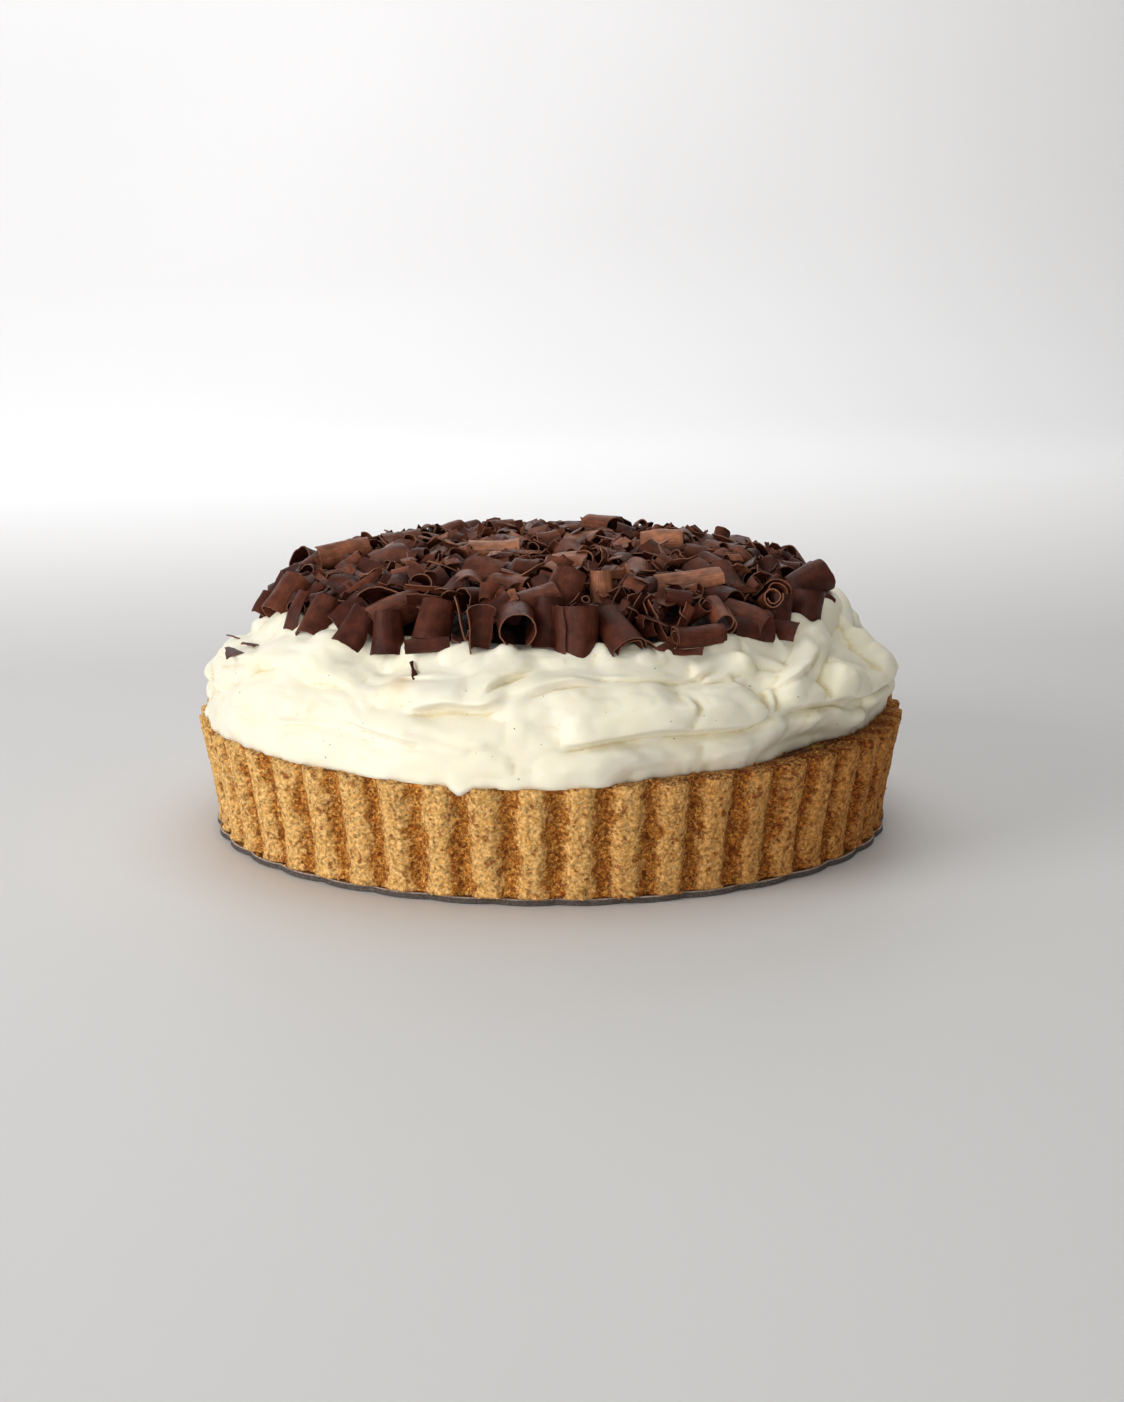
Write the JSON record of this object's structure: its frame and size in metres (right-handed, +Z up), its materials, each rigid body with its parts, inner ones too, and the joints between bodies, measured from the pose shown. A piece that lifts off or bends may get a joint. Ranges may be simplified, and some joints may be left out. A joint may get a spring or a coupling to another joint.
{
  "type": "banoffee pie",
  "caption": "Deep fluted biscuit-crumb pie on a thin scalloped card, filled with caramel, with folded whipped cream over the rim and a low heap of chocolate curls on top",
  "frame": {"origin": "middle of the underside of the card, on the axis of the pie", "axes": "+Z up, the side shown in the picture towards -Y, +X to the right as seen from there"},
  "size_m": [0.2298, 0.2299, 0.0941],
  "materials": {
    "card_board": "dark board with a rough cut edge and a glossy brown-gold face",
    "crumb_crust": "pressed biscuit crumb, matt, sandy and golden brown",
    "caramel_filling": "thick dark caramel, moist and glossy",
    "whipped_cream": "soft whipped cream, ivory, with a low sheen",
    "chocolate_shavings": "thin curls of dark chocolate with a soft gloss"
  },
  "bodies": {
    "root": {"base_card": "card_board", "crust": "crumb_crust", "caramel": "caramel_filling", "cream": "whipped_cream", "chocolate_curls": "chocolate_shavings"}
  },
  "joints": []
}
